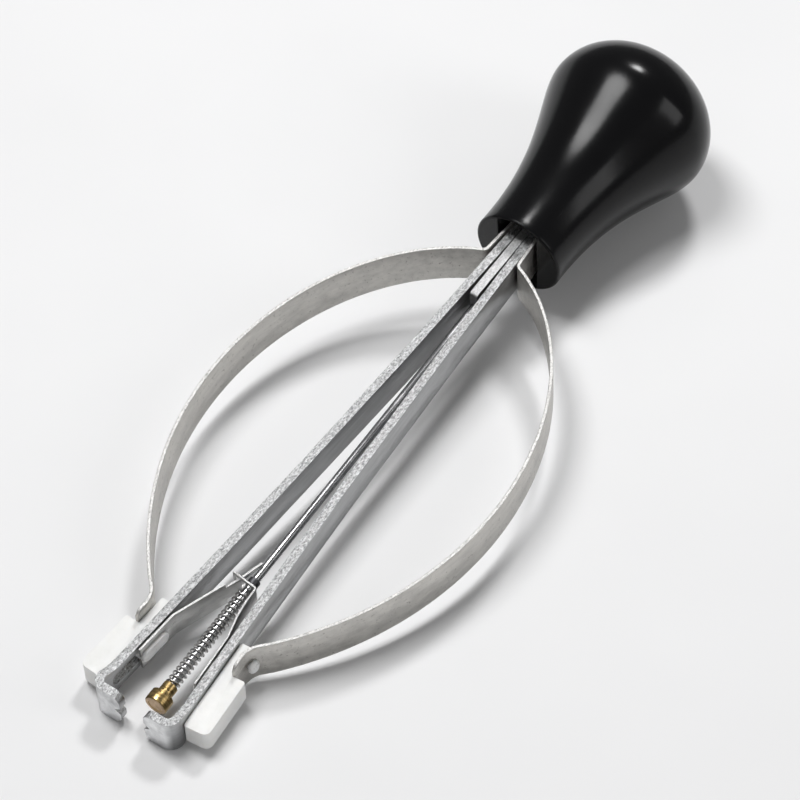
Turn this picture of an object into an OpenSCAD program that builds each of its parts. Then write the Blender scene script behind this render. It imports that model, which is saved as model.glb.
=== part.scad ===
// Watch hand remover: two hooked jaw arms, two spring bows, two sliding feet and a sprung plunger,
// all held in one bulb handle.
// Millimetres. X runs from the hooks' front faces up the tool to the crown of the handle,
// Y across the arms (left arm on +Y), Z is up, square to the plane of the arms.

/* [Jaw arms] */
// Half of the space between the arms just above the hooks.
jaw_gap_low = 5.48; // [4:0.01:7]
// Half of the space between the arms where they enter the handle.
jaw_gap_high = 0.74; // [0.6:0.01:1.2]
// X of the section just above the hooks.
jaw_low_x = 2; // [1.8:0.1:3]
// X of the face of the handle.
handle_x = 92; // [91:0.1:93]
// How far the middle of each arm bows towards the tool's centre line.
jaw_bow_in = 0.53; // [0:0.01:1]
// Arm strip thickness.
jaw_t = 1.25; // [1:0.05:1.6]
// Arm strip height at the hooks.
jaw_h_low = 4.5; // [4:0.1:6]
// Arm strip height in the handle.
jaw_h_high = 5.9; // [5:0.1:6.5]
// X of the arm's end inside the handle.
jaw_end_x = 100.3; // [99:0.1:100.4]
// Half of the space between the two hooks.
hook_gap = 1.9; // [1.5:0.05:3]
// Hook height.
hook_h = 6.06; // [4:0.02:7]
// Bend radius on the centre line of the strip.
hook_bend_r = 1.35; // [1:0.05:2]
// X up to which the arm keeps the height of its hook.
hook_flare = 1.9; // [1:0.1:4]
// Length over which the hook's height fades into the arm.
hook_fade = 2.6; // [1:0.1:6]
// Radius of the hook's rounded ends.
hook_end_r = 1.5; // [0.2:0.1:2]
// Depth of the notch in the end of the hook.
notch_depth = 0.95; // [0.5:0.05:1.5]
// Opening of the notch.
notch_w = 1.4; // [1:0.1:2.4]

/* [Feet] */
// X of the middle of the foot, where its frame sits on the arm.
foot_x = 11.1; // [10:0.1:12]
// Running clearance between foot and arm.
foot_gap = 0.1; // [0.05:0.01:0.2]
// Lower end of the foot block, measured from the middle of the foot.
foot_low = -8.8; // [-10:0.1:-8]
// Step between the block and the thin tail.
foot_step = 0.8; // [0:0.1:2]
// Upper end of the thin tail.
foot_high = 5.8; // [4:0.05:7]
// Block thickness.
foot_t = 3.7; // [3:0.1:5]
// Tail thickness.
foot_tail_t = 1.6; // [1:0.05:2.4]
// Top of the foot above the plane of the arms.
foot_top = 1.35; // [1.3:0.05:3]
// Bottom of the foot below that plane.
foot_bottom = 2.3; // [1.3:0.05:3]
// Radius of the outer corner of the sole.
foot_sole_r = 1.1; // [0.2:0.1:2]
// Radius of the other corners.
foot_edge_r = 0.35; // [0.1:0.05:1]
// Travel of the foot along its slot.
foot_travel = 5; // [3:0.1:6]

/* [Slide keys] */
// Lower end of the key, from the middle of the foot.
key_low = -2.8; // [-4:0.1:-2]
// Upper end of the key.
key_high = 2.4; // [2:0.1:4]
// Key width.
key_w = 2.1; // [1.6:0.1:2.6]
// How far the key stands inside the arm.
key_proud = 1.06; // [0.6:0.01:1.6]
// Key socket in the foot.
key_socket = 1.0; // [0.5:0.1:2]
// Length of the arm's slot beyond the key's upper end.
slot_spare = 2.6; // [0.1:0.1:3]
// Key clearance in slot and leaf.
key_gap = 0.05; // [0.01:0.01:0.1]

/* [Pegs] */
// Peg position along the foot.
peg_x = 4.1; // [2:0.1:5]
// Peg head radius.
peg_head_r = 1.0; // [0.6:0.05:1.4]
// Peg head height.
peg_head_h = 0.95; // [0.4:0.05:1.4]
// How far the head sits out past the flat of the tab.
peg_stand = 0.5; // [0:0.05:1]
// Clearance of the bow round the peg's head.
peg_head_gap = 0.04; // [0.01:0.01:0.1]
// Peg shank radius.
peg_r = 0.55; // [0.3:0.05:0.8]
// Radius of the peg's holes.
peg_hole_r = 0.56; // [0.3:0.01:0.8]

/* [Spring bows] */
// Strip thickness.
bow_t = 0.5; // [0.4:0.05:0.8]
// Strip width.
bow_w = 6.9; // [5:0.1:8]
// Lower end of the tab on the foot.
bow_tab_x = 12.1; // [12:0.1:13]
// Corner where the tab turns up into the bow.
bow_corner_x = 15.6; // [15:0.1:16.2]
// Lower end of the free curve.
bow_a = [18.05, 10.08];
// Lower handle of the free curve.
bow_b = [43.95, 32.58];
// Upper handle of the free curve.
bow_c = [79.16, 22.89];
// Upper end of the free curve.
bow_d = [88, 2.85];
// Corner of the upper bend.
bow_bend = [88.1, 2.68];
// X from which the tail lies flat along the arm.
bow_flat_x = 94; // [93:0.1:96]
// Radius of the upper bend.
bow_bend_r = 0.9; // [0.6:0.1:1.5]
// Radius of the curl above the foot.
bow_curl_r = 3.6; // [0.6:0.1:5]
// End of the tail inside the handle.
bow_tail_x = 98.3; // [97.5:0.1:99]
// Space between tail and arm.
bow_seat = 0.01; // [0.01:0.01:0.05]
// Radius of the tab's corners.
bow_tab_r = 1.2; // [0.4:0.1:2]

/* [Leaves] */
// Leaf thickness.
leaf_t = 0.3; // [0.2:0.05:0.5]
// Leaf width.
leaf_w = 4.4; // [3:0.1:5]
// Space between leaf and arm.
leaf_gap = 0.27; // [0.1:0.01:0.5]
// Radius of the leaves' bends.
leaf_bend_r = 1.2; // [0.3:0.1:1.6]
// Radius of the bend at the crossing tab.
tab_bend_r = 0.4; // [0.2:0.1:0.6]
// Lower end of the left leaf.
left_leaf_low = 8.2; // [7:0.1:8.2]
// Lower end of the right leaf.
right_leaf_low = 7.9; // [7:0.1:8]
// Bend of the left leaf.
left_leaf_bend = 15.1; // [14.5:0.1:16]
// Bend of the right leaf.
right_leaf_bend = 16.1; // [15.5:0.1:16.5]
// Where the left leaf meets the tab of the right one.
left_leaf_mid = [25.1, 0.36];
// Tip of the left leaf.
left_leaf_tip = [28.7, -0.66];
// Set of the right leaf: first bend beside the plunger's spring.
right_leaf_a = [19.9, -3.1];
// Second bend of the right leaf.
right_leaf_b = [22.3, -2.78];
// Root of the right leaf's crossing tab.
right_leaf_c = [24.6, -2.66];
// End of the right leaf's crossing tab.
right_leaf_d = [25.15, 1.45];
// Width of the left leaf's tongue.
tongue_w = 2.7; // [2:0.1:3.6]
// Length of the tongue below the fork.
tongue_l = 2.25; // [1:0.05:3]
// Width of the fork in the tongue.
fork_w = 1.5; // [1.4:0.1:1.6]
// X where the fork begins.
fork_x = 25.05; // [25:0.05:25.5]
// Window in the crossing tab, across the tool.
window_y = [-1.78, 0.98];
// Window height.
window_h = 3.1; // [2.4:0.1:3.6]

/* [Plunger] */
// X where the plunger's axis crosses the plane y = 0.
plunger_cross_x = 89.1; // [80:0.1:100]
// Lean of the plunger towards the right arm, degrees.
plunger_lean = 0.9; // [0:0.05:1.2]
// X of the tip's flat face.
tip_x = 3.3; // [3:0.1:4]
// Tip head radius.
tip_r = 1.68; // [1.5:0.02:1.76]
// Tip head length.
tip_head_l = 1.9; // [1:0.1:3]
// Tip neck radius.
tip_neck_r = 1.07; // [0.9:0.01:1.5]
// Tip length with its neck.
tip_l = 3.7; // [3:0.1:6]
// Edge break of the tip.
tip_chamfer = 0.2; // [0.05:0.05:0.4]
// Rod radius.
rod_r = 0.6; // [0.4:0.05:0.8]
// X of the rod's upper end, inside the spacer's slot.
rod_end_x = 90.3; // [88:0.1:91]
// Depth of the rod's socket in the tip.
rod_socket = 2.6; // [1:0.1:3]
// Bore radius in tip and collar.
rod_bore_r = 0.61; // [0.4:0.01:0.8]
// Collar start, from the tip's face.
collar_at = 22.1; // [20:0.1:26]
// Collar length.
collar_l = 1.2; // [0.8:0.1:2]
// Collar radius.
collar_r = 0.85; // [0.7:0.05:1]

/* [Spring] */
// Spring outer radius.
coil_r = 1.03; // [1:0.01:1.3]
// Wire radius.
wire_r = 0.15; // [0.1:0.01:0.19]
// Turns.
coil_turns = 21; // [10:1:30]
// Spring length at rest.
coil_l = 17.2; // [14:0.1:20]
// Facets in one turn.
coil_steps = 14; // [8:1:32]
// Facets around the wire.
wire_steps = 6; // [4:1:12]

/* [Spacer and rivets] */
// Lower end of the spacer.
spacer_x = 80.7; // [78:0.1:82]
// Upper end of the spacer.
spacer_end_x = 100.3; // [98:0.1:100.4]
// Y of the spacer's middle.
spacer_y = -0.06; // [-0.06:0.02:0.06]
// Spacer thickness.
spacer_t = 1.24; // [1:0.02:1.4]
// Spacer height.
spacer_h = 5.9; // [5:0.1:6.4]
// Radius of the spacer's lower corners.
spacer_r = 0.6; // [0.2:0.1:2.9]
// Height of the rod's slot.
spacer_slot = 1.4; // [1.3:0.05:1.8]
// Upper end of the rod's slot.
spacer_slot_x = 94.1; // [93:0.1:94.2]
// X of the two rivets, the axis the arms flex about.
rivet_x = 96.1; // [95.8:0.1:97]
// Height of each rivet above or below the middle.
rivet_z = 1.65; // [1:0.05:2.2]
// Rivet radius.
rivet_r = 0.8; // [0.5:0.05:1]
// Rivet hole radius.
rivet_hole_r = 0.85; // [0.5:0.01:1.1]
// Rivet head radius.
rivet_head_r = 1.2; // [1:0.05:1.5]
// Rivet head height.
rivet_head_h = 0.33; // [0.2:0.01:0.5]

/* [Handle] */
// Radius of the handle's face.
neck_r = 6.98; // [6:0.01:8]
// Edge radius of the handle's face.
neck_edge_r = 0.4; // [0.1:0.05:1]
// Lower handle point of the flare.
flare_a = [108.58, 6.46];
// Upper handle point of the flare.
flare_b = [116.23, 12.78];
// X of the widest section.
bulb_x = 120.88; // [119:0.01:122]
// Widest radius.
bulb_r = 12.78; // [12:0.01:14]
// Height of the domed crown.
crown_h = 10.12; // [8:0.01:12]
// Half width of the mouth across the arms.
mouth_y = 3.3; // [2.6:0.05:4]
// Radius of the mouth's curved ends.
mouth_r = 6.7; // [5:0.05:6.8]
// Depth of the mouth.
mouth_depth = 6.7; // [5:0.1:10]
// Half width of the socket behind the mouth.
socket_y = 2.12; // [2:0.01:2.6]
// Half height of the socket behind the mouth.
socket_z = 3.05; // [2.95:0.05:4]
// End of the socket.
socket_x = 100.6; // [100.5:0.1:103]
// Direction of the small moulding dimple on the crown, degrees above the arms' plane.
dimple_turn = 36.6; // [0:0.1:90]
// X of the dimple.
dimple_x = 128; // [126:0.1:129]
// Radius of the dimple's ball.
dimple_r = 1.3; // [0.5:0.1:3]
// Depth of the dimple.
dimple_depth = 0.22; // [0.1:0.01:0.5]

/* [Hidden] */
$fn = 64;
eps = 0.01;
tall = 40;
plastic_black = [0.03, 0.03, 0.035];
plastic_white = [0.93, 0.93, 0.91];
plastic_grey = [0.78, 0.79, 0.79];
steel = [0.62, 0.63, 0.65];
steel_dark = [0.25, 0.25, 0.27];
steel_bow = [0.50, 0.49, 0.47];
brass_colour = [0.80, 0.62, 0.42];
jaw_span = handle_x - jaw_low_x;
jaw_steps = 24;
curve_steps = 36;
bend_steps = 5;
flare_steps = 22;
crown_steps = 18;

// Half gap between the arms at x: a straight taper less a shallow bow, parallel inside the handle.
function along(x) = min(1, (x - jaw_low_x) / jaw_span);
function half_gap(x) = jaw_gap_low + (jaw_gap_high - jaw_gap_low) * along(x)
    - 4 * jaw_bow_in * along(x) * (1 - along(x));
// Rate at which the half gap changes at x.
function gap_slope(x) = (x >= handle_x) ? 0
    : ((jaw_gap_high - jaw_gap_low) - 4 * jaw_bow_in * (1 - 2 * along(x))) / jaw_span;

// Vector helpers.
function unit(v) = v / norm(v);
function left_of(v) = [-v[1], v[0]];
function flip(list) = [for (i = [len(list) - 1:-1:0]) list[i]];
function clamp_index(i, n) = max(0, min(n, i));
// Direction of a path at point i.
function heading(path, i) = unit(path[clamp_index(i + 1, len(path) - 1)]
    - path[clamp_index(i - 1, len(path) - 1)]);
// Path moved sideways by d.
function beside(path, d) = [for (i = [0:len(path) - 1]) path[i] + d * left_of(heading(path, i))];
// Cubic curve through four control points.
function curve_point(a, b, c, d, t) = pow(1 - t, 3) * a + 3 * pow(1 - t, 2) * t * b
    + 3 * (1 - t) * t * t * c + pow(t, 3) * d;
function curve(a, b, c, d, n) = [for (i = [0:n]) curve_point(a, b, c, d, i / n)];
// Rounded corner of radius r at b between a and c.
function corner_turn(a, b, c) = acos(unit(b - a) * unit(c - b));
function corner_set(a, b, c, r) = r * tan(corner_turn(a, b, c) / 2);
function corner_side(a, b, c) = ((b - a)[0] * (c - b)[1] - (b - a)[1] * (c - b)[0]) > 0 ? 1 : -1;
function corner(a, b, c, r) = let (s = corner_side(a, b, c), turn = corner_turn(a, b, c),
    start = b - corner_set(a, b, c, r) * unit(b - a), hub = start + s * r * left_of(unit(b - a)))
    [for (i = [0:bend_steps]) let (q = s * turn * i / bend_steps, v = start - hub)
        hub + [v[0] * cos(q) - v[1] * sin(q), v[0] * sin(q) + v[1] * cos(q)]];

// Strip standing on edge along a path.
module strip(path, t, h) {
    translate([0, 0, -h / 2])
        linear_extrude(height = h)
            polygon(concat(beside(path, t / 2), flip(beside(path, -t / 2))));
}

// Copies the left half onto the right.
module mirrored(right) {
    if (right) {
        mirror([0, 1, 0])
            children();
    } else {
        children();
    }
}

// Frame of the left foot: origin on the arm's outer face, X along the arm, Y outward.
foot_turn = atan(gap_slope(foot_x));
module on_foot() {
    translate([foot_x, half_gap(foot_x) + jaw_t / cos(foot_turn), 0])
        rotate([0, 0, foot_turn])
            children();
}

// Rounded slot shape along X, drawn across Y.
module stadium(x0, x1, w, y0, y1) {
    translate([x0 + w / 2, y0, 0])
        rotate([-90, 0, 0])
            cylinder(r = w / 2, h = y1 - y0);
    translate([x1 - w / 2, y0, 0])
        rotate([-90, 0, 0])
            cylinder(r = w / 2, h = y1 - y0);
    translate([x0 + w / 2, y0, -w / 2])
        cube([x1 - x0 - w, y1 - y0, w]);
}

// Two rivet shafts of radius r between y0 and y1.
module rivet_shafts(r, y0, y1) {
    for (s = [-1, 1])
        translate([rivet_x, y0, s * rivet_z])
            rotate([-90, 0, 0])
                cylinder(r = r, h = y1 - y0);
}

// Centre line of the left arm with its hook.
arm_start = [jaw_end_x, half_gap(jaw_end_x) + jaw_t / 2];
arm_knee_y = half_gap(jaw_low_x) + jaw_t / 2 + 0.05;
arm_step = (handle_x - jaw_low_x - hook_bend_r) / jaw_steps;
arm_line = [for (i = [0:jaw_steps]) let (x = handle_x - i * arm_step) [x, half_gap(x) + jaw_t / 2]];
arm_low = [arm_line[jaw_steps - 1], [jaw_t / 2, arm_knee_y + 0.1], [jaw_t / 2, hook_gap]];
arm_path = concat([arm_start], arm_line, corner(arm_low[0], arm_low[1], arm_low[2], hook_bend_r),
    [[jaw_t / 2, hook_gap]]);

// Upper or lower edge of the arm seen along Y: hook, taper, parallel end.
function jaw_edge(s) = [[-1, s * hook_h / 2], [hook_flare, s * hook_h / 2],
    [hook_flare + hook_fade, s * jaw_h_low / 2], [handle_x, s * jaw_h_high / 2],
    [jaw_end_x + 1, s * jaw_h_high / 2]];

module jaw_side() {
    rotate([90, 0, 0])
        translate([0, 0, -tall / 2])
            linear_extrude(height = tall)
                polygon(concat(jaw_edge(-1), flip(jaw_edge(1))));
}

// Rounds the hook's free corners, seen along X.
module hook_corner_cut(s) {
    translate([-1, hook_gap, s * hook_h / 2])
        mirror([0, 0, s > 0 ? 1 : 0])
            difference() {
                translate([0, -1, -1])
                    cube([jaw_t + 2, hook_end_r + 1, hook_end_r + 1]);
                translate([-1, hook_end_r, hook_end_r])
                    rotate([0, 90, 0])
                        cylinder(r = hook_end_r, h = jaw_t + 4);
            }
}

// Half width of the notch's cutter one millimetre outside the hook's end.
notch_mouth = notch_w / 2 * (1 + 1 / notch_depth);

// Lower end of the arm's slot in the foot's frame.
slot_low = key_low - foot_travel - 2 * key_gap;

module jaw_arm_shape() {
    difference() {
        intersection() {
            strip(arm_path, jaw_t, tall);
            jaw_side();
        }
        on_foot()
            stadium(slot_low, key_high + slot_spare, key_w + 2 * key_gap, -jaw_t - 1, 1);
        translate([-1, hook_gap - 1, 0])
            rotate([90, 0, 90])
                linear_extrude(height = jaw_t + 2)
                    polygon([[0, -notch_mouth], [0, notch_mouth], [1 + notch_depth, 0]]);
        for (s = [-1, 1])
            hook_corner_cut(s);
        rivet_shafts(rivet_hole_r, 0, 3);
    }
}

module left_jaw_arm() {
    color(steel)
        jaw_arm_shape();
}

module right_jaw_arm() {
    color(steel)
        mirrored(true)
            jaw_arm_shape();
}

// Centre line of the left bow: tab, free curve, tail.
foot_in = half_gap(foot_x) + jaw_t / cos(foot_turn);
bow_off = (foot_gap + foot_tail_t + bow_t / 2 + eps) / cos(foot_turn);
function tail_y(x) = foot_in + (x - foot_x) * tan(foot_turn) + bow_off;
bow_tab = [bow_tab_x, tail_y(bow_tab_x)];
bow_low = [bow_corner_x, tail_y(bow_corner_x)];
seat_y = jaw_gap_high + jaw_t + bow_seat + bow_t / 2;
bow_in = [bow_flat_x, seat_y];
bow_curve = [for (i = [0:curve_steps - 1]) curve_point(bow_a, bow_b, bow_c, bow_d, i / curve_steps)];
bow_path = concat([bow_tab], corner(bow_tab, bow_low, bow_a, bow_curl_r), bow_curve,
    corner(bow_curve[curve_steps - 1], bow_bend, bow_in, bow_bend_r), [bow_in, [bow_tail_x, seat_y]]);

module bow_shape() {
    difference() {
        strip(bow_path, bow_t, bow_w);
        on_foot()
            translate([peg_x, foot_gap + foot_tail_t - 1, 0])
                rotate([-90, 0, 0])
                    cylinder(r = peg_hole_r, h = 4);
        on_foot()
            translate([peg_x, peg_seat - peg_head_gap, 0])
                rotate([-90, 0, 0])
                    cylinder(r = peg_head_r + peg_head_gap, h = 3);
        rivet_shafts(rivet_hole_r, 1.5, 4);
        for (s = [-1, 1])
            tab_corner_cut(s);
    }
}

// Rounds a corner of the bow's tab, seen along Y.
module tab_corner_cut(s) {
    mirror([0, 0, s > 0 ? 0 : 1])
        translate([bow_tab_x, 0, bow_w / 2])
            difference() {
                translate([-1, 0, -bow_tab_r])
                    cube([bow_tab_r + 1, 12, bow_tab_r + 1]);
                translate([bow_tab_r, -1, -bow_tab_r])
                    rotate([-90, 0, 0])
                        cylinder(r = bow_tab_r, h = 14);
            }
}

module left_bow_spring() {
    color(steel_bow)
        bow_shape();
}

module right_bow_spring() {
    color(steel_bow)
        mirrored(true)
            bow_shape();
}

// Foot outline in its own frame, walked round from the inner lower corner.
foot_outline = [[foot_low, foot_gap], [foot_high, foot_gap], [foot_high, foot_gap + foot_tail_t],
    [foot_step, foot_gap + foot_tail_t], [foot_step, foot_gap + foot_t], [foot_low, foot_gap + foot_t]];
foot_radii = [foot_edge_r, foot_edge_r, foot_edge_r, foot_edge_r / 2, foot_edge_r, foot_sole_r];
function around(list, i) = list[(i + len(list)) % len(list)];
function foot_corner(i) = corner(around(foot_outline, i - 1), foot_outline[i], around(foot_outline, i + 1),
    foot_radii[i]);

module foot_shape() {
    difference() {
        translate([0, 0, -foot_bottom])
            linear_extrude(height = foot_top + foot_bottom)
                polygon([for (i = [0:len(foot_outline) - 1]) each foot_corner(i)]);
        stadium(key_low, key_high, key_w, foot_gap - 1, foot_gap + key_socket);
        translate([peg_x, -1, 0])
            rotate([-90, 0, 0])
                cylinder(r = peg_hole_r, h = foot_t + 2);
    }
}

module key_shape() {
    stadium(key_low, key_high, key_w, -jaw_t - key_proud, foot_gap + key_socket);
}

peg_seat = foot_gap + foot_tail_t + bow_t + peg_stand;
module peg_shape() {
    translate([peg_x, foot_gap + 2 * eps, 0])
        rotate([-90, 0, 0])
            cylinder(r = peg_r, h = peg_seat - foot_gap);
    translate([peg_x, peg_seat, 0])
        rotate([-90, 0, 0])
            peg_head();
}

// Domed head: a short cylinder under a ball cap.
module peg_head() {
    cylinder(r = peg_head_r, h = peg_head_h / 3);
    intersection() {
        translate([0, 0, peg_head_h - peg_head_r * 1.2])
            sphere(r = peg_head_r * 1.2);
        cylinder(r = peg_head_r, h = peg_head_h);
    }
}

module left_foot() {
    color(plastic_white)
        on_foot()
            foot_shape();
}

module right_foot() {
    color(plastic_white)
        mirrored(true)
            on_foot()
                foot_shape();
}

module left_slide_key() {
    color(plastic_grey)
        on_foot()
            key_shape();
}

module right_slide_key() {
    color(plastic_grey)
        mirrored(true)
            on_foot()
                key_shape();
}

module left_foot_peg() {
    color(plastic_grey)
        on_foot()
            peg_shape();
}

module right_foot_peg() {
    color(plastic_grey)
        mirrored(true)
            on_foot()
                peg_shape();
}

// Window for the key in a leaf, with clearance.
module key_window() {
    on_foot()
        stadium(key_low - key_gap, key_high + key_gap, key_w + 2 * key_gap, -jaw_t - 2, -jaw_t + 0.2);
}

leaf_set = leaf_gap + leaf_t / 2;
leaf_reach = 4;
left_leaf_a = [left_leaf_low, half_gap(left_leaf_low) - leaf_set];
left_leaf_b = [left_leaf_bend, half_gap(left_leaf_bend) - leaf_set];
left_leaf_path = concat([left_leaf_a], corner(left_leaf_a, left_leaf_b, left_leaf_mid, leaf_bend_r),
    [left_leaf_mid, left_leaf_tip]);

module left_leaf() {
    color(steel)
        difference() {
            strip(left_leaf_path, leaf_t, leaf_w);
            key_window();
            for (z = [tongue_w / 2, -tongue_w / 2 - leaf_reach])
                translate([fork_x - tongue_l, -leaf_reach, z])
                    cube([2 * leaf_reach, 2 * leaf_reach, leaf_reach]);
            translate([fork_x, -leaf_reach, -fork_w / 2])
                cube([2 * leaf_reach, 2 * leaf_reach, fork_w]);
        }
}

right_leaf_p = [right_leaf_low, leaf_set - half_gap(right_leaf_low)];
right_leaf_q = [right_leaf_bend, leaf_set - half_gap(right_leaf_bend)];
right_leaf_path = concat([right_leaf_p], corner(right_leaf_p, right_leaf_q, right_leaf_a, leaf_bend_r),
    corner(right_leaf_q, right_leaf_a, right_leaf_b, leaf_bend_r),
    corner(right_leaf_a, right_leaf_b, right_leaf_c, leaf_bend_r),
    corner(right_leaf_b, right_leaf_c, right_leaf_d, tab_bend_r), [right_leaf_d]);

module right_leaf() {
    color(steel)
        difference() {
            strip(right_leaf_path, leaf_t, leaf_w);
            mirrored(true)
                key_window();
            translate([right_leaf_c[0] - 0.8, window_y[0], -window_h / 2])
                cube([2.4, window_y[1] - window_y[0], window_h]);
        }
}

// Frame of the plunger: origin at the tip's face, X up along the rod.
module on_plunger() {
    translate([tip_x, -(plunger_cross_x - tip_x) * tan(plunger_lean), 0])
        rotate([0, 0, plunger_lean])
            rotate([0, 90, 0])
                children();
}

rod_end = (rod_end_x - tip_x) / cos(plunger_lean);

module plunger_rod() {
    color(steel)
        on_plunger() {
            translate([0, 0, tip_l - rod_socket])
                cylinder(r = rod_r, h = rod_end - tip_l + rod_socket - rod_r / 2);
            translate([0, 0, rod_end - rod_r / 2])
                cylinder(r1 = rod_r, r2 = rod_r / 2, h = rod_r / 2);
        }
}

module plunger_tip() {
    color(brass_colour)
        on_plunger()
            difference() {
                rotate_extrude()
                    polygon([[0, 0], [tip_r - tip_chamfer, 0], [tip_r, tip_chamfer],
                        [tip_r, tip_head_l - tip_chamfer], [tip_r - tip_chamfer, tip_head_l],
                        [tip_neck_r, tip_head_l], [tip_neck_r, tip_l], [0, tip_l]]);
                translate([0, 0, tip_l - rod_socket - eps])
                    cylinder(r = rod_bore_r, h = rod_socket + 1);
            }
}

module plunger_collar() {
    color(steel_dark)
        on_plunger()
            translate([0, 0, collar_at])
                difference() {
                    cylinder(r = collar_r, h = collar_l);
                    translate([0, 0, -1])
                        cylinder(r = rod_bore_r, h = collar_l + 2);
                }
}

// Wire of the spring as one swept tube, its rings square to the coil's axis plane.
coil_rings = coil_turns * coil_steps;
function coil_turn(i) = 360 * i / coil_steps;
function coil_hub(i) = [(coil_r - wire_r) * cos(coil_turn(i)), (coil_r - wire_r) * sin(coil_turn(i)),
    wire_r + (coil_l - 2 * wire_r) * i / coil_rings];
function coil_ring(i) = [for (k = [0:wire_steps - 1]) let (q = 360 * k / wire_steps)
    coil_hub(i) + wire_r * [cos(q) * cos(coil_turn(i)), cos(q) * sin(coil_turn(i)), sin(q)]];
coil_points = [for (i = [0:coil_rings]) each coil_ring(i)];
coil_faces = concat(
    [for (i = [0:coil_rings - 1]) for (k = [0:wire_steps - 1]) [i * wire_steps + k,
        i * wire_steps + (k + 1) % wire_steps, (i + 1) * wire_steps + (k + 1) % wire_steps]],
    [for (i = [0:coil_rings - 1]) for (k = [0:wire_steps - 1]) [i * wire_steps + k,
        (i + 1) * wire_steps + (k + 1) % wire_steps, (i + 1) * wire_steps + k]],
    [[for (k = [wire_steps - 1:-1:0]) k]],
    [[for (k = [0:wire_steps - 1]) coil_rings * wire_steps + k]]);

module plunger_spring() {
    color(steel)
        on_plunger()
            translate([0, 0, tip_l + eps])
                polyhedron(points = coil_points, faces = coil_faces);
}

module spacer_bar() {
    color(steel_dark)
        translate([0, spacer_y - spacer_t / 2, 0])
            difference() {
                rotate([90, 0, 0])
                    translate([0, 0, -spacer_t])
                        linear_extrude(height = spacer_t)
                            spacer_outline();
                stadium(spacer_x - 4, spacer_slot_x, spacer_slot, -1, spacer_t + 1);
                rivet_shafts(rivet_hole_r, -1, spacer_t + 1);
            }
}

// Spacer seen along Y: a bar with its lower corners rounded.
module spacer_outline() {
    for (s = [-1, 1])
        translate([spacer_x + spacer_r, s * (spacer_h / 2 - spacer_r)])
            circle(r = spacer_r);
    translate([spacer_x, -spacer_h / 2 + spacer_r])
        square([spacer_r + 1, spacer_h - 2 * spacer_r]);
    translate([spacer_x + spacer_r, -spacer_h / 2])
        square([spacer_end_x - spacer_x - spacer_r, spacer_h]);
}

rivet_seat = jaw_gap_high + jaw_t + bow_seat + bow_t + eps;
module clamp_rivets() {
    color(steel)
        union() {
            rivet_shafts(rivet_r, -rivet_seat, rivet_seat);
            rivet_shafts(rivet_head_r, rivet_seat, rivet_seat + rivet_head_h);
            rivet_shafts(rivet_head_r, -rivet_seat - rivet_head_h, -rivet_seat);
        }
}

// Half section of the handle: rounded face edge, flared neck, domed crown.
flare_low = [handle_x + neck_edge_r, neck_r];
flare_high = [bulb_x, bulb_r];
function flare_point(t) = curve_point(flare_low, flare_a, flare_b, flare_high, t);
handle_profile = concat([[0, handle_x], [neck_r - neck_edge_r, handle_x]],
    [for (i = [1:bend_steps]) let (q = 90 * i / bend_steps)
        [neck_r - neck_edge_r + neck_edge_r * sin(q), handle_x + neck_edge_r * (1 - cos(q))]],
    [for (i = [1:flare_steps]) let (p = flare_point(i / flare_steps)) [p[1], p[0]]],
    [for (i = [1:crown_steps - 1]) let (q = 90 * i / crown_steps)
        [bulb_r * cos(q), bulb_x + crown_h * sin(q)]],
    [[0, bulb_x + crown_h]]);

// Opening through the handle's face: two flat sides, ends that follow the neck.
module mouth() {
    translate([handle_x - 1, 0, 0])
        rotate([0, 90, 0])
            intersection() {
                cylinder(r = mouth_r, h = mouth_depth + 1);
                translate([-mouth_r - 1, -mouth_y, 0])
                    cube([2 * mouth_r + 2, 2 * mouth_y, mouth_depth + 1]);
            }
}

dimple_rim = bulb_r * sqrt(1 - pow((dimple_x - bulb_x) / crown_h, 2));
dimple_slope = atan2(dimple_rim / pow(bulb_r, 2), (dimple_x - bulb_x) / pow(crown_h, 2));

module handle() {
    color(plastic_black)
        difference() {
            rotate([0, 90, 0])
                rotate_extrude()
                    polygon(handle_profile);
            mouth();
            translate([handle_x, -socket_y, -socket_z])
                cube([socket_x - handle_x, 2 * socket_y, 2 * socket_z]);
            rotate([dimple_turn, 0, 0])
                translate([dimple_x, dimple_rim, 0])
                    rotate([0, 0, dimple_slope])
                        translate([dimple_r - dimple_depth, 0, 0])
                            sphere(r = dimple_r);
        }
}

handle();
spacer_bar();
clamp_rivets();
left_jaw_arm();
right_jaw_arm();
left_bow_spring();
right_bow_spring();
left_foot();
right_foot();
left_slide_key();
right_slide_key();
left_foot_peg();
right_foot_peg();
left_leaf();
right_leaf();
plunger_rod();
plunger_tip();
plunger_collar();
plunger_spring();
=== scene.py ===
import math
import bmesh
import bpy
from mathutils import Matrix, Vector


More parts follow.
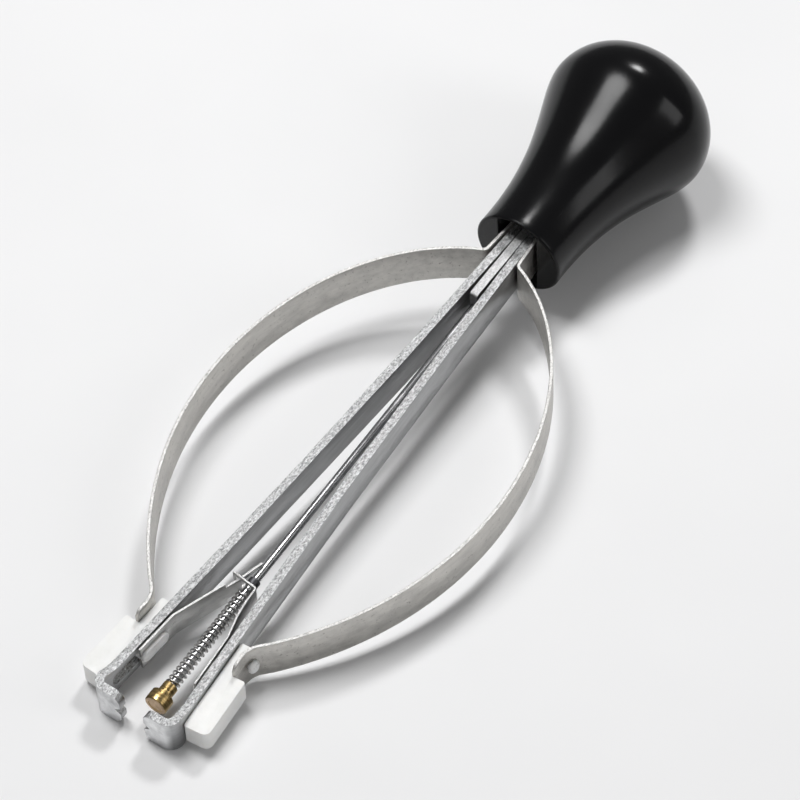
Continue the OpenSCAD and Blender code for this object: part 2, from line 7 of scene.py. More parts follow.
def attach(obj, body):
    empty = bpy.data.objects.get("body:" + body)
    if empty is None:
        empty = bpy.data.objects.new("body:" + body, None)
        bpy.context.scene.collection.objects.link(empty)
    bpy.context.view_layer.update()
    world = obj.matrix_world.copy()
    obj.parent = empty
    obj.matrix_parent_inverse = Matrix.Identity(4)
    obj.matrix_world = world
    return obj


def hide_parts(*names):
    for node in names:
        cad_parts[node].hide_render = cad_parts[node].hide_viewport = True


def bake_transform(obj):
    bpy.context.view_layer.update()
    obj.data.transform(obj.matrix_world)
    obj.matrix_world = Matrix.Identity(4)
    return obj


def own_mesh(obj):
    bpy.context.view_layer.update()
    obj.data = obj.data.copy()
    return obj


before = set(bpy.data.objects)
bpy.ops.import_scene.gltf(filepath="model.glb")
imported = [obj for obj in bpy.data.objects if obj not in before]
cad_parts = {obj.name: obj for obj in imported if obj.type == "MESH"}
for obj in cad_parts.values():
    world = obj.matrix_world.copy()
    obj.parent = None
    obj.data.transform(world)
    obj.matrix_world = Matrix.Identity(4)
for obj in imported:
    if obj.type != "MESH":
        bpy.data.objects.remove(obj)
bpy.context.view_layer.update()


MM = 0.001
SIDES = (("left", 1), ("right", -1))


# ---------- materials ----------

class Shader:
    """A principled material with short helpers for its nodes."""

    def __init__(self, name, base, metallic=0.0, roughness=0.4):
        self.mat = bpy.data.materials.new(name)
        self.mat.use_nodes = True
        self.tree = self.mat.node_tree
        self.bsdf = self.tree.nodes["Principled BSDF"]
        self.set(self.bsdf, "Base Color", (*base, 1))
        self.set(self.bsdf, "Metallic", metallic)
        self.set(self.bsdf, "Roughness", roughness)
        self.coord = self.node("ShaderNodeTexCoord").outputs["Object"]
        self.height = None

    def node(self, kind, **props):
        n = self.tree.nodes.new(kind)
        for k, v in props.items():
            setattr(n, k, v)
        return n

    def set(self, n, socket, value):
        n.inputs[socket].default_value = value

    def link(self, a, b):
        self.tree.links.new(a, b)

    def scaled(self, scale):
        m = self.node("ShaderNodeMapping")
        self.set(m, "Scale", scale)
        self.link(self.coord, m.inputs["Vector"])
        return m.outputs["Vector"]

    def noise(self, scale, detail=3.0, rough=0.6):
        n = self.node("ShaderNodeTexNoise")
        self.set(n, "Scale", 1.0)
        self.set(n, "Detail", detail)
        self.set(n, "Roughness", rough)
        self.link(self.scaled(scale), n.inputs["Vector"])
        return n.outputs["Fac"]

    def cells(self, scale):
        n = self.node("ShaderNodeTexVoronoi")
        self.set(n, "Scale", 1.0)
        self.link(self.scaled(scale), n.inputs["Vector"])
        return n.outputs["Distance"]

    def remap(self, value, low, high, out_low=0.0, out_high=1.0):
        n = self.node("ShaderNodeMapRange")
        for socket, v in (("From Min", low), ("From Max", high), ("To Min", out_low), ("To Max", out_high)):
            self.set(n, socket, v)
        self.link(value, n.inputs["Value"])
        return n.outputs["Result"]

    def times(self, a, b):
        n = self.node("ShaderNodeMath", operation="MULTIPLY")
        self.link(a, n.inputs[0])
        if isinstance(b, float):
            n.inputs[1].default_value = b
        else:
            self.link(b, n.inputs[1])
        return n.outputs[0]

    def plus(self, a, b):
        n = self.node("ShaderNodeMath", operation="ADD")
        self.link(a, n.inputs[0])
        self.link(b, n.inputs[1])
        return n.outputs[0]

    def blend_colour(self, fac, a, b):
        n = self.node("ShaderNodeMix", data_type="RGBA")
        self.link(fac, n.inputs[0])
        for socket, c in ((n.inputs[6], a), (n.inputs[7], b)):
            if isinstance(c, tuple):
                socket.default_value = (*c, 1)
            else:
                self.link(c, socket)
        return n.outputs[2]

    def facing(self, axis, low, high):
        g = self.node("ShaderNodeNewGeometry")
        s = self.node("ShaderNodeSeparateXYZ")
        self.link(g.outputs["Normal"], s.inputs[0])
        return self.remap(s.outputs[axis], low, high)

    def bump(self, height, strength, distance):
        n = self.node("ShaderNodeBump")
        self.set(n, "Strength", strength)
        self.set(n, "Distance", distance)
        self.link(height, n.inputs["Height"])
        if self.height is not None:
            self.link(self.height, n.inputs["Normal"])
        self.height = n.outputs["Normal"]
        self.link(self.height, self.bsdf.inputs["Normal"])

    def colour(self, value):
        self.link(value, self.bsdf.inputs["Base Color"])

    def rough(self, value):
        self.link(value, self.bsdf.inputs["Roughness"])


def same(k):
    return (k, k, k)


def black_plastic():
    s = Shader("handle_black", (0.012, 0.012, 0.013), 0.0, 0.2)
    cloud = s.noise(same(120), 4)
    fine = s.noise(same(1400), 4)
    dust = s.remap(s.cells(same(900)), 0.03, 0.09, 1.0, 0.0)
    patch = s.remap(s.noise(same(60), 2), 0.55, 0.72)
    specks = s.times(dust, patch)
    scuff = s.remap(s.noise((200, 2400, 2400), 3), 0.66, 0.74)
    s.colour(s.blend_colour(s.times(specks, 0.35), (0.004, 0.004, 0.0045), (0.16, 0.16, 0.16)))
    s.rough(s.plus(s.remap(cloud, 0.3, 0.7, 0.15, 0.23), s.times(s.plus(scuff, specks), 0.07)))
    s.bump(s.noise(same(45), 2), 0.10, 0.0012)
    s.bump(fine, 0.05, 0.0001)
    s.set(s.bsdf, "Specular IOR Level", 0.2)
    s.set(s.bsdf, "Sheen Weight", 0.03)
    s.set(s.bsdf, "Sheen Roughness", 0.3)
    return s.mat


def mouth_plastic():
    s = Shader("mouth_black", (0.01, 0.01, 0.01), 0.0, 0.4)
    grit = s.remap(s.noise(same(1800), 4), 0.45, 0.7)
    s.colour(s.blend_colour(grit, (0.006, 0.006, 0.006), (0.045, 0.045, 0.047)))
    s.rough(s.remap(s.noise(same(700), 3), 0.3, 0.7, 0.25, 0.6))
    s.bump(s.noise(same(1100), 5), 0.8, 0.0006)
    return s.mat


def steel(name, side, edge, rough=0.36, grain=(90, 1500, 1500), pits=0.0, speck=0.6, warm=None,
          front=None):
    """Strip steel: satin sides with grain along the strip, a bright burred edge on top, and, if a front colour
    is given, faces turned to -X lightened with it as a painted reflection.
    """
    s = Shader(name, side, 1.0, rough)
    streak = s.noise(grain, 4)
    mottle = s.noise(same(260), 4)
    burr = s.noise((2200, 3600, 3600), 5, 0.75)
    up = s.facing("Z", 0.55, 0.85)
    dark = tuple(c * 0.72 for c in side)
    body = s.blend_colour(s.remap(streak, 0.3, 0.7), dark, side)
    stain = warm or tuple(c * 1.15 for c in side)
    body = s.blend_colour(s.times(s.remap(mottle, 0.45, 0.75), 0.4), body, stain)
    hollows = tuple(c * (1 - speck) for c in edge)
    grainy = s.blend_colour(s.remap(burr, 0.38, 0.62), hollows, edge)
    tone = s.blend_colour(up, body, grainy)
    # Painted reflection: faces turned to -X are lightened towards the front colour and mottled by noise,
    # standing in for the bright surroundings they reflect.
    if front:
        painted_front_reflection = s.blend_colour(s.remap(mottle, 0.4, 0.7), front, side)
        tone = s.blend_colour(s.facing("X", -0.7, -0.97), tone, painted_front_reflection)
    if pits:
        pit = s.remap(s.noise(same(1900), 4, 0.7), 0.60, 0.68)
        tone = s.blend_colour(s.times(pit, pits), tone, (0.10, 0.09, 0.08))
        s.bump(pit, 0.35, -0.00006)
    s.colour(tone)
    s.rough(s.plus(s.remap(streak, 0.3, 0.7, rough - 0.06, rough + 0.08), s.times(up, 0.13)))
    s.bump(streak, 0.12, 0.00006)
    s.bump(s.times(burr, up), 0.9, 0.00016)
    return s.mat


def bright_steel(name, base, rough=0.22, scale=(60, 2600, 2600)):
    s = Shader(name, base, 1.0, rough)
    line = s.noise(scale, 3)
    stain = s.noise(same(300), 3)
    s.colour(s.blend_colour(s.remap(line, 0.3, 0.7), tuple(c * 0.75 for c in base), base))
    dull = s.times(s.remap(stain, 0.45, 0.7), 0.12)
    s.rough(s.plus(s.remap(line, 0.3, 0.7, rough - 0.05, rough + 0.05), dull))
    s.bump(line, 0.1, 0.00004)
    return s.mat


def nylon(name, base, dirty, scatter, rough, clear=0.0):
    s = Shader(name, base, 0.0, rough)
    s.colour(s.blend_colour(s.remap(s.noise(same(340), 4), 0.45, 0.75), base, dirty))
    s.rough(s.remap(s.noise(same(900), 3), 0.3, 0.7, rough - 0.07, rough + 0.08))
    s.set(s.bsdf, "Subsurface Weight", scatter)
    s.set(s.bsdf, "Subsurface Radius", (1.0, 0.95, 0.9))
    s.set(s.bsdf, "Subsurface Scale", 0.0008)
    s.set(s.bsdf, "Transmission Weight", clear)
    s.bump(s.noise(same(420), 3), 0.12, 0.0002)
    s.bump(s.noise(same(2600), 4), 0.15, 0.00005)
    return s.mat


def turned_brass():
    s = Shader("tip_brass", (0.52, 0.37, 0.17), 1.0, 0.3)
    ring = s.noise((3200, 260, 260), 3)
    tone = s.blend_colour(s.remap(ring, 0.35, 0.65), (0.30, 0.205, 0.08), (0.58, 0.42, 0.19))
    front = s.facing("X", -0.75, -0.95)
    tone = s.blend_colour(front, tone, (0.45, 0.32, 0.20))
    tarnish = s.times(s.remap(s.noise(same(1100), 4), 0.55, 0.72), 0.6)
    s.colour(s.blend_colour(tarnish, tone, (0.20, 0.12, 0.04)))
    s.rough(s.remap(s.noise(same(1500), 3), 0.3, 0.7, 0.22, 0.42))
    s.bump(ring, 0.35, 0.00008)
    return s.mat


MATS = {
    "handle_plastic": black_plastic(),
    "mouth": mouth_plastic(),
    "arm_steel": steel("arm_steel", (0.46, 0.465, 0.47), (0.80, 0.805, 0.81), speck=0.68,
                       front=(0.92, 0.925, 0.93)),
    "bow_steel": steel("bow_steel", (0.64, 0.625, 0.595), (0.95, 0.94, 0.92), rough=0.40,
                       grain=(160, 900, 900), pits=0.55, speck=0.35, warm=(0.70, 0.68, 0.64)),
    "leaf_steel": steel("leaf_steel", (0.64, 0.64, 0.63), (0.85, 0.85, 0.84), rough=0.33,
                        grain=(120, 1400, 1400), speck=0.2),
    "spacer_steel": steel("spacer_steel", (0.42, 0.42, 0.42), (0.80, 0.80, 0.80), rough=0.4,
                          grain=(120, 1400, 1400), speck=0.35),
    "bright_steel": bright_steel("rod_steel", (0.50, 0.50, 0.51)),
    "wire_steel": bright_steel("wire_steel", (0.68, 0.67, 0.66), 0.25, same(900)),
    "dark_steel": bright_steel("dark_steel", (0.13, 0.13, 0.14), 0.35, same(700)),
    "white_nylon": nylon("white_nylon", (0.86, 0.86, 0.845), (0.80, 0.80, 0.78), scatter=0.5, rough=0.42),
    "grey_nylon": nylon("grey_nylon", (0.93, 0.935, 0.925), (0.85, 0.86, 0.855), scatter=0.6, rough=0.30,
                        clear=0.12),
    "brass": turned_brass(),
}


# ---------- mesh helpers ----------

# Cleaning of a CAD mesh before it is bevelled: mm, degrees, degrees.
WELD, FLAT_WITHIN, BEVEL_FROM = 0.002, 0.6, 25

def new_object(name, verts, faces, slot, mat=None, smooth=True):
    mesh = bpy.data.meshes.new(name)
    mesh.from_pydata([Vector(v) * MM for v in verts], [], faces)
    mesh.validate()
    bm = bmesh.new()
    bm.from_mesh(mesh)
    bmesh.ops.recalc_face_normals(bm, faces=bm.faces)
    bm.to_mesh(mesh)
    bm.free()
    mesh.polygons.foreach_set("use_smooth", [smooth] * len(mesh.polygons))
    obj = bpy.data.objects.new(name, mesh)
    bpy.context.scene.collection.objects.link(obj)
    mesh.materials.append(MATS[mat or slot])
    return obj


def bake(obj):
    """Applies the object's modifiers to its mesh."""
    dg = bpy.context.evaluated_depsgraph_get()
    mesh = bpy.data.meshes.new_from_object(obj.evaluated_get(dg))
    obj.modifiers.clear()
    obj.data = mesh
    return obj


def sharpen(obj, degrees=35):
    obj.data.polygons.foreach_set("use_smooth", [True] * len(obj.data.polygons))
    obj.data.set_sharp_from_angle(angle=math.radians(degrees))


def dressed(node, slot, bevel, segments=2, mat=None):
    """A bevelled copy of a CAD node."""
    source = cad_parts[node]
    obj = bpy.data.objects.new(node + "_v", source.data.copy())
    bpy.context.scene.collection.objects.link(obj)
    obj.matrix_world = source.matrix_world.copy()
    bm = bmesh.new()
    bm.from_mesh(obj.data)
    bmesh.ops.remove_doubles(bm, verts=bm.verts, dist=WELD * MM)
    bmesh.ops.dissolve_limit(bm, angle_limit=math.radians(FLAT_WITHIN), verts=bm.verts, edges=bm.edges)
    bm.to_mesh(obj.data)
    bm.free()
    mod = obj.modifiers.new("bevel", "BEVEL")
    mod.width = bevel * MM
    mod.segments = segments
    mod.limit_method = "ANGLE"
    mod.angle_limit = math.radians(BEVEL_FROM)
    mod.use_clamp_overlap = True
    bpy.context.view_layer.update()
    bake(obj)
    obj.data.materials.clear()
    obj.data.materials.append(MATS[mat or slot])
    sharpen(obj)
    return obj


def resample(path, step):
    """Points about step apart along the straight pieces between the path's points."""
    pts = [Vector(p) for p in path]
    out = []
    for i in range(len(pts) - 1):
        a, b = pts[i], pts[i + 1]
        n = max(1, round((b - a).length / step))
        out += [a.lerp(b, k / n) for k in range(n)]
    return out + [pts[-1]]


def bezier(a, b, c, d, n, stop=1.0):
    """Points of a cubic curve from a to d, or up to the fraction stop of it."""
    a, b, c, d = map(Vector, (a, b, c, d))
    out = []
    for i in range(n + 1):
        t = stop * i / n
        u = 1 - t
        out.append(a * u ** 3 + b * 3 * t * u ** 2 + c * 3 * t * t * u + d * t ** 3)
    return out


def fillet(a, b, c, r, n):
    """Points of the arc of radius r that rounds the corner at b between a and c."""
    a, b, c = map(Vector, (a, b, c))
    u, v = (b - a).normalized(), (c - b).normalized()
    turn = u.angle_signed(v) if u.angle(v) > 1e-6 else 0.0
    sign = 1 if u.x * v.y - u.y * v.x > 0 else -1
    turn = abs(turn)
    start = b - u * (r * math.tan(turn / 2))
    hub = start + Vector((-u.y, u.x)) * r * sign
    out = []
    for i in range(n + 1):
        q = sign * turn * i / n
        w = start - hub
        out.append(hub + Vector((w.x * math.cos(q) - w.y * math.sin(q),
                                 w.x * math.sin(q) + w.y * math.cos(q))))
    return out


def strip(name, path, thick, height, edge, slot, side):
    """Strip standing on edge along a path in the XY plane, with its edges rounded.

    height(run, total) is its half height; side is 1, or -1 for the mirror image.
    """
    half = thick / 2
    edge = min(edge, half * 0.95)
    ring = []
    for cx, cz, q0 in ((1, 1, 0), (-1, 1, 90), (-1, -1, 180), (1, -1, 270)):
        for k in range(4):
            q = math.radians(q0 + 30 * k)
            ring.append((cx * (half - edge) + edge * math.cos(q), cz, edge * math.sin(q)))
    verts, faces, run = [], [], 0.0
    n = len(ring)
    total = sum((path[i + 1] - path[i]).length for i in range(len(path) - 1))
    for i, p in enumerate(path):
        a, b = path[max(i - 1, 0)], path[min(i + 1, len(path) - 1)]
        u = (b - a).normalized()
        if i:
            run += (p - path[i - 1]).length
        h = height(run, total)
        for off, cz, dz in ring:
            verts.append((p.x - u.y * off, side * (p.y + u.x * off), cz * (h - edge) + dz))
    for i in range(len(path) - 1):
        for k in range(n):
            a, b = i * n + k, i * n + (k + 1) % n
            faces.append((a, b, b + n, a + n))
    faces += [tuple(range(n)), tuple(range((len(path) - 1) * n, len(path) * n))]
    obj = new_object(name, verts, faces, slot)
    sharpen(obj, 50)
    return obj


# ---------- dimensions shared with the CAD ----------

# Half the space between the arms at the hooks and at the handle's face, and how far the arms bow inwards.
GAP_LOW, GAP_HIGH, ARM_BOW = 5.48, 0.74, 0.53
LOW_X, FACE_X, FOOT_X = 2.0, 92.0, 11.1
ARM_T, BOW_T, LEAST = 1.25, 0.5, 0.01
FOOT_GAP, FOOT_TAIL_T = 0.1, 1.6
SEAT_Y = GAP_HIGH + ARM_T + LEAST + BOW_T / 2


def half_gap(x):
    t = min(1, (x - LOW_X) / (FACE_X - LOW_X))
    return GAP_LOW + (GAP_HIGH - GAP_LOW) * t - 4 * ARM_BOW * t * (1 - t)


SPAN = FACE_X - LOW_X
TURN = math.atan(((GAP_HIGH - GAP_LOW) - 4 * ARM_BOW * (1 - 2 * (FOOT_X - LOW_X) / SPAN)) / SPAN)
FOOT_Y = half_gap(FOOT_X) + ARM_T / math.cos(TURN)


# ---------- handle ----------

def revolve(name, profile, slot, steps=256):
    """Solid of revolution about X from (x, r) pairs that start and end on the axis."""
    verts = [(profile[0][0], 0, 0)]
    inner = profile[1:-1]
    for x, r in inner:
        verts += [(x, r * math.cos(2 * math.pi * k / steps), r * math.sin(2 * math.pi * k / steps))
                  for k in range(steps)]
    verts.append((profile[-1][0], 0, 0))
    faces = [(0, 1 + (k + 1) % steps, 1 + k) for k in range(steps)]
    for i in range(len(inner) - 1):
        for k in range(steps):
            a, b = 1 + i * steps + k, 1 + i * steps + (k + 1) % steps
            faces.append((a, b, b + steps, a + steps))
    last = 1 + (len(inner) - 1) * steps
    faces += [(last + k, last + (k + 1) % steps, len(verts) - 1) for k in range(steps)]
    return new_object(name, verts, faces, slot)


def block(name, x0, x1, outline):
    """Closed block along X with the given outline of (y, z) points."""
    n = len(outline)
    verts = [(x, y, z) for x in (x0, x1) for y, z in outline]
    faces = [(k, (k + 1) % n, n + (k + 1) % n, n + k) for k in range(n)]
    faces += [tuple(range(n)), tuple(range(n, 2 * n))]
    return new_object(name, verts, faces, "handle_plastic", "mouth", smooth=False)


def mouth_outline(radius, half, steps=36):
    """A circle with two flat sides at y = +half and y = -half."""
    q = math.acos(half / radius)
    top = [(radius * math.cos(t), radius * math.sin(t)) for t in
           (q + (math.pi - 2 * q) * k / steps for k in range(steps + 1))]
    return top + [(-y, -z) for y, z in top]


def cut(obj, tool):
    """Takes the tool's shape out of the object and deletes the tool."""
    mod = obj.modifiers.new("cut", "BOOLEAN")
    mod.operation = "DIFFERENCE"
    mod.solver = "EXACT"
    mod.object = tool
    bpy.context.view_layer.update()
    bake(obj)
    bpy.data.objects.remove(tool)


NECK_R, BULB_X, BULB_R, CROWN = 6.98, 120.88, 12.78, 10.12
FLARE_A, FLARE_B = (108.58, 6.46), (116.23, 12.78)
LIP = 0.4
MOUTH_R, MOUTH_HALF, MOUTH_DEPTH = 6.7, 3.3, 6.7
SOCKET_Y, SOCKET_Z, SOCKET_X = 2.12, 3.05, 100.6
DIMPLE_X, DIMPLE_R, DIMPLE_DEPTH, DIMPLE_TURN = 128.0, 1.3, 0.22, 36.6

profile = [(FACE_X, 0), (FACE_X, NECK_R - LIP - 0.02)]
for k in range(9):
    q = math.radians(90 * k / 8)
    profile.append((FACE_X + LIP * (1 - math.cos(q)), NECK_R - LIP + LIP * math.sin(q)))
flare = bezier((FACE_X + LIP, NECK_R), FLARE_A, FLARE_B, (BULB_X, BULB_R), 70)
profile += [(p.x, p.y) for p in flare[1:]]
for k in range(1, 40):
    q = math.radians(90 * k / 40)
    profile.append((BULB_X + CROWN * math.sin(q), BULB_R * math.cos(q)))
profile.append((BULB_X + CROWN, 0))
handle = revolve("handle_shell", profile, "handle_plastic")
handle.data.materials.append(MATS["mouth"])
cut(handle, block("mouth_cut", FACE_X - 1, FACE_X + MOUTH_DEPTH, mouth_outline(MOUTH_R, MOUTH_HALF)))
socket = [(SOCKET_Y, -SOCKET_Z), (SOCKET_Y, SOCKET_Z), (-SOCKET_Y, SOCKET_Z), (-SOCKET_Y, -SOCKET_Z)]
cut(handle, block("socket_cut", FACE_X - 1, SOCKET_X, socket))

# Moulding dimple: a ball sunk into the crown.
dimple_y = BULB_R * math.sqrt(1 - ((DIMPLE_X - BULB_X) / CROWN) ** 2)
outward = Vector(((DIMPLE_X - BULB_X) / CROWN ** 2, dimple_y / BULB_R ** 2, 0)).normalized()
dimple = Vector((DIMPLE_X, dimple_y, 0)) + outward * (DIMPLE_R - DIMPLE_DEPTH)
dimple = Matrix.Rotation(math.radians(DIMPLE_TURN), 4, "X") @ dimple
bpy.ops.mesh.primitive_uv_sphere_add(segments=48, ring_count=32, radius=DIMPLE_R * MM, location=dimple * MM)
cut(handle, bpy.context.object)
sharpen(handle, 30)
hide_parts("handle")
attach(handle, "handle_body")

# ---------- arms, spacer, rivets ----------

for side, s in SIDES:
    arm = dressed(side + "_jaw_arm", "arm_steel", 0.16, 3)
    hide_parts(side + "_jaw_arm")
    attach(arm, side + "_jaw")
spacer = dressed("spacer_bar", "dark_steel", 0.15, 3, "spacer_steel")
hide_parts("spacer_bar")
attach(spacer, "handle_body")
rivets = dressed("clamp_rivets", "bright_steel", 0.08)
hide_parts("clamp_rivets")
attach(rivets, "handle_body")

# ---------- bows ----------

BOW_HALF, BOW_EDGE = 3.45, 0.12
TAB_X, CORNER_X, TAB_R, CURL_R = 12.1, 15.6, 1.2, 3.6
BOW_A, BOW_B, BOW_C, BOW_D = (18.05, 10.08), (43.95, 32.58), (79.16, 22.89), (88.0, 2.85)
BEND, BEND_R = (88.1, 2.68), 0.9
FLAT_X, TAIL_X = 94.0, 98.3
# Where the bow starts to bend away from the arm, and where it has reached the foot.
# The last of the curve's 36 steps is left to the bend.
CURVE_STOP = 35 / 36


def tail_y(x):
    """Y of the middle of the bow's tab, which lies on the foot's tail."""
    off = FOOT_GAP + FOOT_TAIL_T + BOW_T / 2 + LEAST
    return FOOT_Y + (x - FOOT_X) * math.tan(TURN) + off / math.cos(TURN)


def bow_height(run, total):
    """Half height of the lower half of a bow, with the corners of its tab rounded."""
    back = max(TAB_R - run, 0)
    return BOW_HALF - TAB_R + math.sqrt(max(TAB_R ** 2 - back ** 2, 0.01))


def full_height(run, total):
    """Half height of the upper half of a bow."""
    return BOW_HALF


tab, low = (TAB_X, tail_y(TAB_X)), (CORNER_X, tail_y(CORNER_X))
free = bezier(BOW_A, BOW_B, BOW_C, BOW_D, 140, CURVE_STOP)
flat = (FLAT_X, SEAT_Y)
line = [Vector(tab)] + fillet(tab, low, BOW_A, CURL_R, 14) + free + fillet(free[-1], BEND, flat, BEND_R, 10)
line += [Vector(flat), Vector((TAIL_X, SEAT_Y))]
line = resample(line, 0.5)
peak = max(range(len(line)), key=lambda i: line[i].y)
for side, s in SIDES:
    lower = strip(side + "_bow_lower", line[:peak + 1], BOW_T, bow_height, BOW_EDGE, "bow_steel", s)
    upper = strip(side + "_bow_upper", line[peak:], BOW_T, full_height, BOW_EDGE, "bow_steel", s)
    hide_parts(side + "_bow_spring")
    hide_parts(side + "_bow_spring")
    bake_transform(upper)
    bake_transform(lower)

# ---------- feet and leaves ----------

for side, s in SIDES:
    for node, slot, bevel, seg in (("_foot", "white_nylon", 0.32, 4), ("_slide_key", "grey_nylon", 0.25, 4),
                                   ("_foot_peg", "grey_nylon", 0.08, 3)):
        piece = dressed(side + node, slot, bevel, seg)
        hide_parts(side + node)
        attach(piece, side + "_foot")
    leaf = dressed(side + "_leaf", "leaf_steel", 0.06, 2)
    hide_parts(side + "_leaf")
    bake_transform(leaf)

# ---------- plunger ----------

LEAN = math.radians(0.9)
CROSS_X, TIP_X = 89.1, 3.3
TIP_Y = -(CROSS_X - TIP_X) * math.tan(LEAN)
UP = Vector((math.cos(LEAN), math.sin(LEAN), 0))
ACROSS = Vector((-math.sin(LEAN), math.cos(LEAN), 0))


def on_plunger(along, a, b):
    """Point given along the plunger from the tip's face, across it, and above it."""
    return Vector((TIP_X, TIP_Y, 0)) + UP * along + ACROSS * a + Vector((0, 0, 1)) * b


def turned(name, profile, slot, steps=72):
    """Solid of revolution about the plunger's axis."""
    verts, faces = [], []
    for x, r in profile:
        turns = [2 * math.pi * k / steps for k in range(steps)]
        verts += [on_plunger(x, r * math.cos(q), r * math.sin(q)) for q in turns]
    for i in range(len(profile) - 1):
        for k in range(steps):
            a, b = i * steps + k, i * steps + (k + 1) % steps
            faces.append((a, b, b + steps, a + steps))
    last = (len(profile) - 1) * steps
    faces += [tuple(range(steps)), tuple(range(last, last + steps))]
    obj = new_object(name, verts, faces, slot)
    sharpen(obj, 28)
    return obj


def soft_corner(x, r, size, qs, inwards):
    """Arc that rounds the outer corner (x, r); inwards is 1 or -1, the way along X into the piece."""
    hub = (x + inwards * size, r - size)
    return [(hub[0] + size * math.cos(math.radians(q)), hub[1] + size * math.sin(math.radians(q))) for q in qs]


HEAD_R, HEAD_L, NECK_TIP_R, TIP_L, BORE_R = 1.68, 1.9, 1.07, 3.7, 0.61
ROD_R, ROD_TOP = 0.6, 87.2
COLLAR_AT, COLLAR_L, COLLAR_R, BREAK = 22.1, 1.2, 0.85, 0.07
head = [(0.08, 0.01), (0.08, 1.02), (0.0, 1.12)]
head += soft_corner(0, HEAD_R, 0.2, (180, 150, 120, 90), 1)
head += soft_corner(HEAD_L, HEAD_R, 0.16, (90, 60, 30, 0), -1)
neck = [(HEAD_L, 1.15), (1.96, NECK_TIP_R), (3.62, NECK_TIP_R), (TIP_L, 0.99), (TIP_L, BORE_R)]
tip = turned("tip_turned", head + neck, "brass")
rod = turned("rod_turned", [(1.2, 0.58), (1.25, ROD_R), (ROD_TOP - 0.3, ROD_R), (ROD_TOP, 0.35)],
             "bright_steel", 48)
low, high = COLLAR_AT, COLLAR_AT + COLLAR_L
collar = turned("collar_turned", [(low, BORE_R), (low, COLLAR_R - BREAK), (low + BREAK, COLLAR_R),
                                  (high - BREAK, COLLAR_R), (high, COLLAR_R - BREAK), (high, BORE_R)],
                "dark_steel", 48)
for piece, node in ((tip, "plunger_tip"), (rod, "plunger_rod"), (collar, "plunger_collar")):
    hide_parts(node)
    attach(piece, "plunger")

# Radius of the wire's centre line, radius of the wire, turns, start along the plunger, length.
COIL_R, WIRE_R, TURNS, COIL_AT, COIL_L = 0.88, 0.15, 21, 3.71, 17.2


def coil(name, t0, t1):
    """Part of the coil spring between two fractions of its length."""
    per, around = 40, 12
    n = round(TURNS * per * (t1 - t0))
    verts, faces = [], []
    for i in range(n + 1):
        t = t0 + (t1 - t0) * i / n
        q = 2 * math.pi * TURNS * t
        hub = COIL_AT + WIRE_R + (COIL_L - 2 * WIRE_R) * t
        for k in range(around):
            w = 2 * math.pi * k / around
            r = COIL_R + WIRE_R * math.cos(w)
            verts.append(on_plunger(hub + WIRE_R * math.sin(w), r * math.cos(q), r * math.sin(q)))
    for i in range(n):
        for k in range(around):
            a, b = i * around + k, i * around + (k + 1) % around
            faces.append((a, b, b + around, a + around))
    faces += [tuple(range(around)), tuple(range(n * around, (n + 1) * around))]
    return new_object(name, verts, faces, "wire_steel")


coil_low, coil_high = coil("coil_lower", 0.0, 0.5), coil("coil_upper", 0.5, 1.0)
for piece in (coil_low, coil_high):
    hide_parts("plunger_spring")
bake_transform(coil_low)
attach(coil_high, "spring_body")
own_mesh(coil_high)

# ---------- floor, light, camera ----------

# The floor is tilted so that the hooks and the bulb both rest on it.
HOOK_HALF, FLOOR_GAP, FLOOR_X, FLOOR_SIZE = 3.03, 0.02, 60, 6.0
tilt = 0.0
for _ in range(20):
    tilt = math.atan((BULB_R / math.cos(tilt) - HOOK_HALF) / BULB_X)
square = Vector((math.sin(tilt), 0, math.cos(tilt)))
centre = Vector((FLOOR_X, 0, -HOOK_HALF - FLOOR_GAP - FLOOR_X * math.tan(tilt))) * MM
bpy.ops.mesh.primitive_plane_add(size=FLOOR_SIZE, location=centre)
floor = bpy.context.object
floor.name = "floor"
floor.rotation_mode = "QUATERNION"
floor.rotation_quaternion = square.to_track_quat("Z", "X")
fs = Shader("floor_white", (0.86, 0.86, 0.865), 0.0, 0.55)
cloud = fs.remap(fs.noise(same(14), 3), 0.3, 0.7)
fs.colour(fs.blend_colour(cloud, (0.80, 0.80, 0.805), (0.83, 0.83, 0.835)))
fs.set(fs.bsdf, "Specular IOR Level", 0.2)
# Beyond the reach of the softboxes the floor keeps its pale tone by a glow that grows with distance.
away = fs.node("ShaderNodeVectorMath", operation="LENGTH")
fs.link(fs.coord, away.inputs[0])
fs.set(fs.bsdf, "Emission Color", (1.0, 1.0, 1.0, 1.0))
fs.link(fs.remap(away.outputs["Value"], 0.25, 0.9, 0.0, 0.62), fs.bsdf.inputs["Emission Strength"])
floor.data.materials.append(fs.mat)

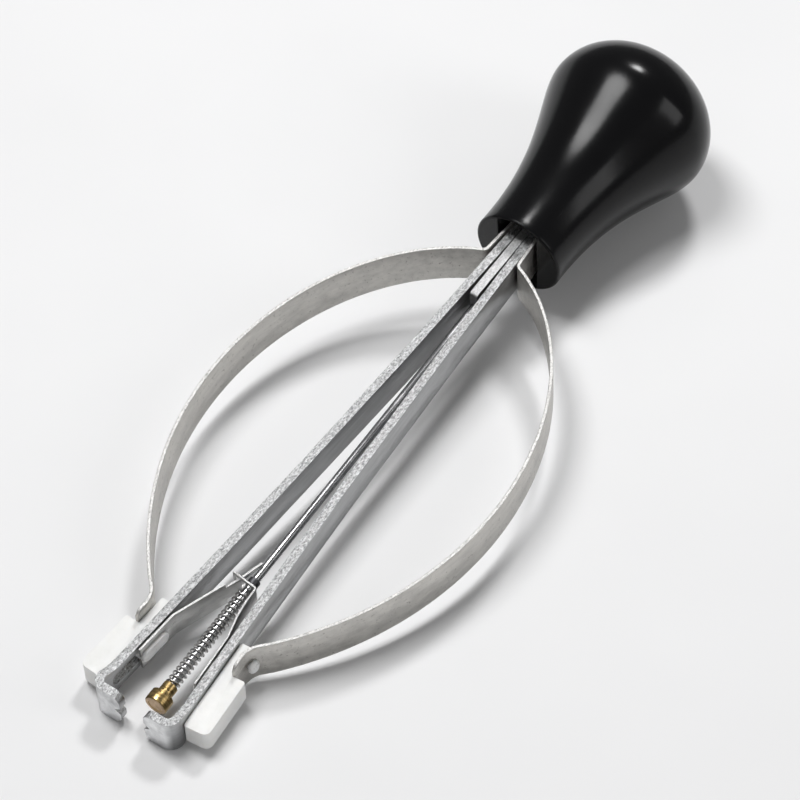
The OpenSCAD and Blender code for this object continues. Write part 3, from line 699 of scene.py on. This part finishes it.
world = bpy.data.worlds.new("studio")
world.use_nodes = True
bpy.context.scene.world = world
sky = world.node_tree.nodes["Background"]
sky.inputs["Color"].default_value = (1.0, 1.0, 1.0, 1)
sky.inputs["Strength"].default_value = 0.15


# The lights stand at this distance from the middle of the tool.
AIM, FAR = Vector((59, 0, 0)), 600


def softbox(name, way, w, h, radiance, shape):
    """Softbox of the given radiance, seen from the tool in the direction way."""
    place = AIM + Vector(way).normalized() * FAR
    area = w * h * MM * MM * (math.pi / 4 if shape == "ELLIPSE" else 1)
    light = bpy.data.lights.new(name, "AREA")
    light.shape = shape
    light.size, light.size_y, light.energy = w * MM, h * MM, radiance * math.pi * area
    obj = bpy.data.objects.new(name, light)
    bpy.context.scene.collection.objects.link(obj)
    obj.location = place * MM
    obj.rotation_mode = "QUATERNION"
    obj.rotation_quaternion = (AIM - place).to_track_quat("-Z", "Y")


softbox("key", (0.04, 0.30, 0.95), 175, 300, 16.5, "ELLIPSE")
softbox("side", (0.26, -0.78, 0.50), 190, 330, 2.6, "RECTANGLE")
softbox("spot", (0.64, 0.14, 0.76), 118, 105, 44, "ELLIPSE")
softbox("front", (-0.80, -0.15, 0.42), 320, 260, 0.9, "RECTANGLE")

CAMERA_AT = Vector((-205.62, -202.89, 466.2))
CAMERA_RIGHT, CAMERA_LOOK = Vector((0.5642, -0.8249, -0.0345)), Vector((0.4657, 0.3525, -0.8117))
cam_data = bpy.data.cameras.new("camera")
cam_data.lens = 186.7
cam_data.sensor_width = 36
cam_data.dof.use_dof = False
cam_data.clip_start, cam_data.clip_end = 0.01, 20
camera = bpy.data.objects.new("camera", cam_data)
bpy.context.scene.collection.objects.link(camera)
look = CAMERA_LOOK.normalized()
top = CAMERA_RIGHT.normalized().cross(look).normalized()
right = look.cross(top).normalized()
turn = Matrix((right, top, -look)).transposed().to_4x4()
camera.matrix_world = Matrix.Translation(CAMERA_AT * MM) @ turn
bpy.context.scene.camera = camera
bpy.context.scene.view_settings.view_transform = "Standard"
